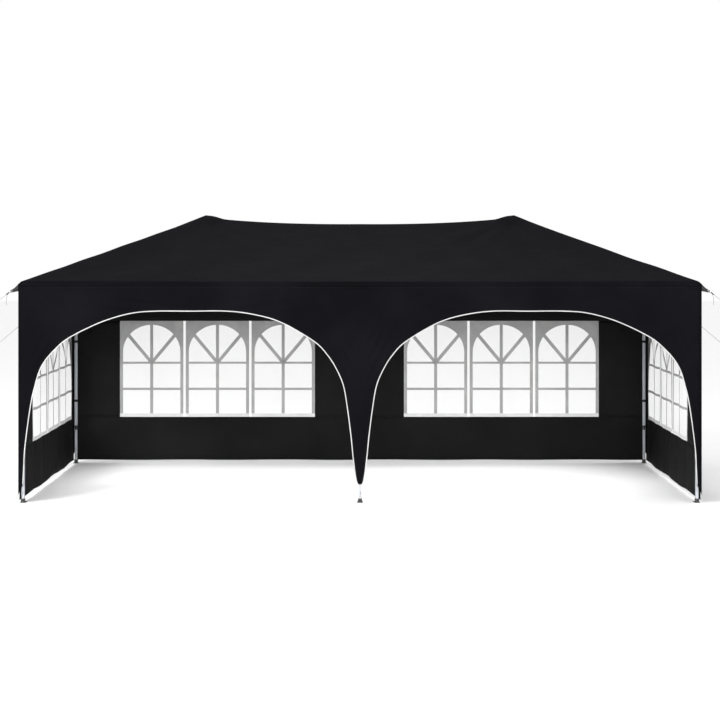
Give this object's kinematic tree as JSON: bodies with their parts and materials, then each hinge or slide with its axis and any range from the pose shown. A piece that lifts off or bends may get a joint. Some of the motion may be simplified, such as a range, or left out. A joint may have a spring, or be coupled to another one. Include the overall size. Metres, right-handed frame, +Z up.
{
  "type": "pop-up gazebo",
  "caption": "Folding gazebo with a twin-peak cloth roof, arched skirts, windowed side walls and a scissor frame on telescopic legs.",
  "frame": {"origin": "on the ground, in the middle of the six legs", "axes": "+Z up, +X along the six metre side, -Y the open front"},
  "size_m": [7.7126, 3.5343, 2.526],
  "materials": {
    "leg_steel": "satin powder coat on square tube",
    "truss_metal": "satin powder coat",
    "black_plastic": "moulded, fine grain",
    "canopy_cloth": "coated polyester, plain weave, light-coloured piping on the arches",
    "wall_cloth": "coated polyester with clear film windows",
    "guy_cord": "braided cord"
  },
  "bodies": {
    "outer_leg_front_left": {"outer_leg_front_left": "leg_steel", "wall_left": "wall_cloth", "guy_rope_front_left": "guy_cord"},
    "inner_leg_front_left": {"inner_leg_front_left": "leg_steel"},
    "slider_front_left": {"slider_front_left": "black_plastic"},
    "outer_leg_front_mid": {"outer_leg_front_mid": "leg_steel", "canopy": "canopy_cloth"},
    "inner_leg_front_mid": {"inner_leg_front_mid": "leg_steel"},
    "slider_front_mid": {"slider_front_mid": "black_plastic"},
    "outer_leg_front_right": {"outer_leg_front_right": "leg_steel", "wall_right": "wall_cloth", "guy_rope_front_right": "guy_cord"},
    "inner_leg_front_right": {"inner_leg_front_right": "leg_steel"},
    "slider_front_right": {"slider_front_right": "black_plastic"},
    "outer_leg_back_left": {"outer_leg_back_left": "leg_steel", "guy_rope_back_left": "guy_cord"},
    "inner_leg_back_left": {"inner_leg_back_left": "leg_steel"},
    "slider_back_left": {"slider_back_left": "black_plastic"},
    "outer_leg_back_mid": {"outer_leg_back_mid": "leg_steel", "wall_back": "wall_cloth"},
    "inner_leg_back_mid": {"inner_leg_back_mid": "leg_steel"},
    "slider_back_mid": {"slider_back_mid": "black_plastic"},
    "outer_leg_back_right": {"outer_leg_back_right": "leg_steel", "guy_rope_back_right": "guy_cord"},
    "inner_leg_back_right": {"inner_leg_back_right": "leg_steel"},
    "slider_back_right": {"slider_back_right": "black_plastic"},
    "truss_front_left_a": {"truss_front_left_a": "truss_metal"},
    "truss_front_left_b": {"truss_front_left_b": "truss_metal"},
    "truss_front_left_c": {"truss_front_left_c": "truss_metal"},
    "truss_front_left_d": {"truss_front_left_d": "truss_metal"},
    "truss_hub_front_left": {"truss_hub_front_left": "black_plastic"},
    "truss_front_right_a": {"truss_front_right_a": "truss_metal"},
    "truss_front_right_b": {"truss_front_right_b": "truss_metal"},
    "truss_front_right_c": {"truss_front_right_c": "truss_metal"},
    "truss_front_right_d": {"truss_front_right_d": "truss_metal"},
    "truss_hub_front_right": {"truss_hub_front_right": "black_plastic"},
    "truss_left_a": {"truss_left_a": "truss_metal"},
    "truss_left_b": {"truss_left_b": "truss_metal"},
    "truss_left_c": {"truss_left_c": "truss_metal"},
    "truss_left_d": {"truss_left_d": "truss_metal"},
    "truss_right_a": {"truss_right_a": "truss_metal"},
    "truss_right_b": {"truss_right_b": "truss_metal"},
    "truss_right_c": {"truss_right_c": "truss_metal"},
    "truss_right_d": {"truss_right_d": "truss_metal"},
    "truss_back_left_a": {"truss_back_left_a": "truss_metal"},
    "truss_back_left_b": {"truss_back_left_b": "truss_metal"},
    "truss_back_left_c": {"truss_back_left_c": "truss_metal"},
    "truss_back_left_d": {"truss_back_left_d": "truss_metal"},
    "truss_hub_back_left": {"truss_hub_back_left": "black_plastic"},
    "truss_back_right_a": {"truss_back_right_a": "truss_metal"},
    "truss_back_right_b": {"truss_back_right_b": "truss_metal"},
    "truss_back_right_c": {"truss_back_right_c": "truss_metal"},
    "truss_back_right_d": {"truss_back_right_d": "truss_metal"},
    "truss_hub_back_right": {"truss_hub_back_right": "black_plastic"},
    "peak_bar_left_front": {"peak_bar_left_front": "truss_metal"},
    "peak_pole_left": {"peak_pole_left": "truss_metal"},
    "peak_bar_left_back": {"peak_bar_left_back": "truss_metal"},
    "peak_bar_right_front": {"peak_bar_right_front": "truss_metal"},
    "peak_pole_right": {"peak_pole_right": "truss_metal"},
    "peak_bar_right_back": {"peak_bar_right_back": "truss_metal"}
  },
  "joints": [
    {"name": "frame_fold", "type": "hinge", "parent": "outer_leg_front_mid", "child": "truss_front_left_a", "pos_m": [-0.066, -1.465, 1.86], "axis": [0, -1, 0], "range_deg": [0, 78.7], "deforming": ["canopy", "wall_back", "wall_left", "wall_right"]},
    {"name": "truss_front_left_b_pivot", "type": "hinge", "parent": "truss_front_left_a", "child": "truss_front_left_b", "pos_m": [-0.7655, -1.465, 1.7725], "axis": [0, -1, 0], "range_deg": [-157.9, 0]},
    {"name": "truss_front_left_d_pivot", "type": "hinge", "parent": "truss_front_left_a", "child": "truss_front_left_d", "pos_m": [-1.465, -1.465, 1.685], "axis": [0, -1, 0], "range_deg": [-157.9, 0]},
    {"name": "truss_front_left_c_pivot", "type": "hinge", "parent": "truss_front_left_d", "child": "truss_front_left_c", "pos_m": [-2.1645, -1.465, 1.7725], "axis": [0, -1, 0], "range_deg": [0, 157.9]},
    {"name": "outer_leg_front_left_pivot", "type": "hinge", "parent": "truss_front_left_d", "child": "outer_leg_front_left", "pos_m": [-2.864, -1.465, 1.86], "axis": [0, -1, 0], "range_deg": [0, 79.2]},
    {"name": "slider_front_mid_pivot", "type": "hinge", "parent": "truss_front_left_b", "child": "slider_front_mid", "pos_m": [-0.066, -1.465, 1.685], "axis": [0, -1, 0], "range_deg": [0, 79.2]},
    {"name": "truss_hub_front_left_pivot", "type": "hinge", "parent": "truss_front_left_b", "child": "truss_hub_front_left", "pos_m": [-1.465, -1.465, 1.86], "axis": [0, -1, 0], "range_deg": [0, 79.2]},
    {"name": "truss_front_right_a_pivot", "type": "hinge", "parent": "outer_leg_front_mid", "child": "truss_front_right_a", "pos_m": [0.066, -1.465, 1.86], "axis": [0, 1, 0], "range_deg": [0, 79.2]},
    {"name": "truss_front_right_b_pivot", "type": "hinge", "parent": "truss_front_right_a", "child": "truss_front_right_b", "pos_m": [0.7655, -1.465, 1.7725], "axis": [0, 1, 0], "range_deg": [-157.9, 0]},
    {"name": "truss_front_right_d_pivot", "type": "hinge", "parent": "truss_front_right_a", "child": "truss_front_right_d", "pos_m": [1.465, -1.465, 1.685], "axis": [0, 1, 0], "range_deg": [-157.9, 0]},
    {"name": "truss_front_right_c_pivot", "type": "hinge", "parent": "truss_front_right_d", "child": "truss_front_right_c", "pos_m": [2.1645, -1.465, 1.7725], "axis": [0, 1, 0], "range_deg": [0, 157.9]},
    {"name": "outer_leg_front_right_pivot", "type": "hinge", "parent": "truss_front_right_d", "child": "outer_leg_front_right", "pos_m": [2.864, -1.465, 1.86], "axis": [0, 1, 0], "range_deg": [0, 79.2]},
    {"name": "truss_hub_front_right_pivot", "type": "hinge", "parent": "truss_front_right_b", "child": "truss_hub_front_right", "pos_m": [1.465, -1.465, 1.86], "axis": [0, 1, 0], "range_deg": [0, 79.2]},
    {"name": "truss_left_a_pivot", "type": "hinge", "parent": "outer_leg_front_left", "child": "truss_left_a", "pos_m": [-2.93, -1.399, 1.86], "axis": [-1, 0, 0], "range_deg": [0, 79.2]},
    {"name": "truss_left_b_pivot", "type": "hinge", "parent": "truss_left_a", "child": "truss_left_b", "pos_m": [-2.93, -0.6995, 1.7725], "axis": [-1, 0, 0], "range_deg": [-157.9, 0]},
    {"name": "truss_left_d_pivot", "type": "hinge", "parent": "truss_left_a", "child": "truss_left_d", "pos_m": [-2.93, 0, 1.685], "axis": [-1, 0, 0], "range_deg": [-157.9, 0]},
    {"name": "truss_left_c_pivot", "type": "hinge", "parent": "truss_left_d", "child": "truss_left_c", "pos_m": [-2.93, 0.6995, 1.7725], "axis": [-1, 0, 0], "range_deg": [0, 157.9]},
    {"name": "outer_leg_back_left_pivot", "type": "hinge", "parent": "truss_left_d", "child": "outer_leg_back_left", "pos_m": [-2.93, 1.399, 1.86], "axis": [-1, 0, 0], "range_deg": [0, 79.2]},
    {"name": "slider_front_left_pivot", "type": "hinge", "parent": "truss_left_b", "child": "slider_front_left", "pos_m": [-2.93, -1.399, 1.685], "axis": [-1, 0, 0], "range_deg": [0, 79.2]},
    {"name": "slider_back_left_pivot", "type": "hinge", "parent": "truss_left_c", "child": "slider_back_left", "pos_m": [-2.93, 1.399, 1.685], "axis": [-1, 0, 0], "range_deg": [-79.2, 0]},
    {"name": "truss_right_a_pivot", "type": "hinge", "parent": "outer_leg_front_right", "child": "truss_right_a", "pos_m": [2.93, -1.399, 1.86], "axis": [-1, 0, 0], "range_deg": [0, 79.2]},
    {"name": "truss_right_b_pivot", "type": "hinge", "parent": "truss_right_a", "child": "truss_right_b", "pos_m": [2.93, -0.6995, 1.7725], "axis": [-1, 0, 0], "range_deg": [-157.9, 0]},
    {"name": "truss_right_d_pivot", "type": "hinge", "parent": "truss_right_a", "child": "truss_right_d", "pos_m": [2.93, 0, 1.685], "axis": [-1, 0, 0], "range_deg": [-157.9, 0]},
    {"name": "truss_right_c_pivot", "type": "hinge", "parent": "truss_right_d", "child": "truss_right_c", "pos_m": [2.93, 0.6995, 1.7725], "axis": [-1, 0, 0], "range_deg": [0, 157.9]},
    {"name": "outer_leg_back_right_pivot", "type": "hinge", "parent": "truss_right_d", "child": "outer_leg_back_right", "pos_m": [2.93, 1.399, 1.86], "axis": [-1, 0, 0], "range_deg": [0, 79.2]},
    {"name": "slider_front_right_pivot", "type": "hinge", "parent": "truss_right_b", "child": "slider_front_right", "pos_m": [2.93, -1.399, 1.685], "axis": [-1, 0, 0], "range_deg": [0, 79.2]},
    {"name": "slider_back_right_pivot", "type": "hinge", "parent": "truss_right_c", "child": "slider_back_right", "pos_m": [2.93, 1.399, 1.685], "axis": [-1, 0, 0], "range_deg": [-79.2, 0]},
    {"name": "truss_back_left_a_pivot", "type": "hinge", "parent": "outer_leg_back_left", "child": "truss_back_left_a", "pos_m": [-2.864, 1.465, 1.86], "axis": [0, 1, 0], "range_deg": [0, 79.2]},
    {"name": "truss_back_left_b_pivot", "type": "hinge", "parent": "truss_back_left_a", "child": "truss_back_left_b", "pos_m": [-2.1645, 1.465, 1.7725], "axis": [0, 1, 0], "range_deg": [-157.9, 0]},
    {"name": "truss_back_left_d_pivot", "type": "hinge", "parent": "truss_back_left_a", "child": "truss_back_left_d", "pos_m": [-1.465, 1.465, 1.685], "axis": [0, 1, 0], "range_deg": [-157.9, 0]},
    {"name": "truss_back_left_c_pivot", "type": "hinge", "parent": "truss_back_left_d", "child": "truss_back_left_c", "pos_m": [-0.7655, 1.465, 1.7725], "axis": [0, 1, 0], "range_deg": [0, 157.9]},
    {"name": "outer_leg_back_mid_pivot", "type": "hinge", "parent": "truss_back_left_d", "child": "outer_leg_back_mid", "pos_m": [-0.066, 1.465, 1.86], "axis": [0, 1, 0], "range_deg": [0, 79.2]},
    {"name": "slider_back_mid_pivot", "type": "hinge", "parent": "truss_back_left_c", "child": "slider_back_mid", "pos_m": [-0.066, 1.465, 1.685], "axis": [0, 1, 0], "range_deg": [-79.2, 0]},
    {"name": "truss_hub_back_left_pivot", "type": "hinge", "parent": "truss_back_left_b", "child": "truss_hub_back_left", "pos_m": [-1.465, 1.465, 1.86], "axis": [0, 1, 0], "range_deg": [0, 79.2]},
    {"name": "truss_back_right_a_pivot", "type": "hinge", "parent": "outer_leg_back_right", "child": "truss_back_right_a", "pos_m": [2.864, 1.465, 1.86], "axis": [0, -1, 0], "range_deg": [0, 79.2]},
    {"name": "truss_back_right_b_pivot", "type": "hinge", "parent": "truss_back_right_a", "child": "truss_back_right_b", "pos_m": [2.1645, 1.465, 1.7725], "axis": [0, -1, 0], "range_deg": [-157.9, 0]},
    {"name": "truss_back_right_d_pivot", "type": "hinge", "parent": "truss_back_right_a", "child": "truss_back_right_d", "pos_m": [1.465, 1.465, 1.685], "axis": [0, -1, 0], "range_deg": [-157.9, 0]},
    {"name": "truss_back_right_c_pivot", "type": "hinge", "parent": "truss_back_right_d", "child": "truss_back_right_c", "pos_m": [0.7655, 1.465, 1.7725], "axis": [0, -1, 0], "range_deg": [0, 157.9]},
    {"name": "truss_hub_back_right_pivot", "type": "hinge", "parent": "truss_back_right_b", "child": "truss_hub_back_right", "pos_m": [1.465, 1.465, 1.86], "axis": [0, -1, 0], "range_deg": [0, 79.2]},
    {"name": "peak_bar_left_front_pivot", "type": "hinge", "parent": "truss_hub_front_left", "child": "peak_bar_left_front", "pos_m": [-1.465, -1.422, 1.86], "axis": [-1, 0, 0], "range_deg": [0, 79.2]},
    {"name": "peak_pole_left_pivot", "type": "hinge", "parent": "peak_bar_left_front", "child": "peak_pole_left", "pos_m": [-1.465, -0.023, 1.685], "axis": [-1, 0, 0], "range_deg": [-79.2, 0]},
    {"name": "peak_bar_left_back_pivot", "type": "hinge", "parent": "peak_pole_left", "child": "peak_bar_left_back", "pos_m": [-1.465, 0.023, 1.685], "axis": [-1, 0, 0], "range_deg": [-79.2, 0]},
    {"name": "peak_bar_right_front_pivot", "type": "hinge", "parent": "truss_hub_front_right", "child": "peak_bar_right_front", "pos_m": [1.465, -1.422, 1.86], "axis": [-1, 0, 0], "range_deg": [0, 79.2]},
    {"name": "peak_pole_right_pivot", "type": "hinge", "parent": "peak_bar_right_front", "child": "peak_pole_right", "pos_m": [1.465, -0.023, 1.685], "axis": [-1, 0, 0], "range_deg": [-79.2, 0]},
    {"name": "peak_bar_right_back_pivot", "type": "hinge", "parent": "peak_pole_right", "child": "peak_bar_right_back", "pos_m": [1.465, 0.023, 1.685], "axis": [-1, 0, 0], "range_deg": [-79.2, 0]},
    {"name": "leg_front_left_height", "type": "slide", "parent": "outer_leg_front_left", "child": "inner_leg_front_left", "axis": [0, 0, 1], "range_m": [0, 0.29]},
    {"name": "leg_front_mid_height", "type": "slide", "parent": "outer_leg_front_mid", "child": "inner_leg_front_mid", "axis": [0, 0, 1], "range_m": [0, 0.29]},
    {"name": "leg_front_right_height", "type": "slide", "parent": "outer_leg_front_right", "child": "inner_leg_front_right", "axis": [0, 0, 1], "range_m": [0, 0.29]},
    {"name": "leg_back_left_height", "type": "slide", "parent": "outer_leg_back_left", "child": "inner_leg_back_left", "axis": [0, 0, 1], "range_m": [0, 0.29]},
    {"name": "leg_back_mid_height", "type": "slide", "parent": "outer_leg_back_mid", "child": "inner_leg_back_mid", "axis": [0, 0, 1], "range_m": [0, 0.29]},
    {"name": "leg_back_right_height", "type": "slide", "parent": "outer_leg_back_right", "child": "inner_leg_back_right", "axis": [0, 0, 1], "range_m": [0, 0.29]}
  ],
  "couplings": [
    {"joint": "truss_front_left_b_pivot", "follows": "frame_fold", "ratio": -2},
    {"joint": "truss_front_left_d_pivot", "follows": "frame_fold", "ratio": -2},
    {"joint": "truss_front_left_c_pivot", "follows": "frame_fold", "ratio": 2},
    {"joint": "outer_leg_front_left_pivot", "follows": "frame_fold", "ratio": 1},
    {"joint": "slider_front_mid_pivot", "follows": "frame_fold", "ratio": 1},
    {"joint": "truss_hub_front_left_pivot", "follows": "frame_fold", "ratio": 1},
    {"joint": "truss_front_right_a_pivot", "follows": "frame_fold", "ratio": 1},
    {"joint": "truss_front_right_b_pivot", "follows": "frame_fold", "ratio": -2},
    {"joint": "truss_front_right_d_pivot", "follows": "frame_fold", "ratio": -2},
    {"joint": "truss_front_right_c_pivot", "follows": "frame_fold", "ratio": 2},
    {"joint": "outer_leg_front_right_pivot", "follows": "frame_fold", "ratio": 1},
    {"joint": "truss_hub_front_right_pivot", "follows": "frame_fold", "ratio": 1},
    {"joint": "truss_left_a_pivot", "follows": "frame_fold", "ratio": 1},
    {"joint": "truss_left_b_pivot", "follows": "frame_fold", "ratio": -2},
    {"joint": "truss_left_d_pivot", "follows": "frame_fold", "ratio": -2},
    {"joint": "truss_left_c_pivot", "follows": "frame_fold", "ratio": 2},
    {"joint": "outer_leg_back_left_pivot", "follows": "frame_fold", "ratio": 1},
    {"joint": "slider_front_left_pivot", "follows": "frame_fold", "ratio": 1},
    {"joint": "slider_back_left_pivot", "follows": "frame_fold", "ratio": -1},
    {"joint": "truss_right_a_pivot", "follows": "frame_fold", "ratio": 1},
    {"joint": "truss_right_b_pivot", "follows": "frame_fold", "ratio": -2},
    {"joint": "truss_right_d_pivot", "follows": "frame_fold", "ratio": -2},
    {"joint": "truss_right_c_pivot", "follows": "frame_fold", "ratio": 2},
    {"joint": "outer_leg_back_right_pivot", "follows": "frame_fold", "ratio": 1},
    {"joint": "slider_front_right_pivot", "follows": "frame_fold", "ratio": 1},
    {"joint": "slider_back_right_pivot", "follows": "frame_fold", "ratio": -1},
    {"joint": "truss_back_left_a_pivot", "follows": "frame_fold", "ratio": 1},
    {"joint": "truss_back_left_b_pivot", "follows": "frame_fold", "ratio": -2},
    {"joint": "truss_back_left_d_pivot", "follows": "frame_fold", "ratio": -2},
    {"joint": "truss_back_left_c_pivot", "follows": "frame_fold", "ratio": 2},
    {"joint": "outer_leg_back_mid_pivot", "follows": "frame_fold", "ratio": 1},
    {"joint": "slider_back_mid_pivot", "follows": "frame_fold", "ratio": -1},
    {"joint": "truss_hub_back_left_pivot", "follows": "frame_fold", "ratio": 1},
    {"joint": "truss_back_right_a_pivot", "follows": "frame_fold", "ratio": 1},
    {"joint": "truss_back_right_b_pivot", "follows": "frame_fold", "ratio": -2},
    {"joint": "truss_back_right_d_pivot", "follows": "frame_fold", "ratio": -2},
    {"joint": "truss_back_right_c_pivot", "follows": "frame_fold", "ratio": 2},
    {"joint": "truss_hub_back_right_pivot", "follows": "frame_fold", "ratio": 1},
    {"joint": "peak_bar_left_front_pivot", "follows": "frame_fold", "ratio": 1},
    {"joint": "peak_pole_left_pivot", "follows": "frame_fold", "ratio": -1},
    {"joint": "peak_bar_left_back_pivot", "follows": "frame_fold", "ratio": -1},
    {"joint": "peak_bar_right_front_pivot", "follows": "frame_fold", "ratio": 1},
    {"joint": "peak_pole_right_pivot", "follows": "frame_fold", "ratio": -1},
    {"joint": "peak_bar_right_back_pivot", "follows": "frame_fold", "ratio": -1}
  ]
}
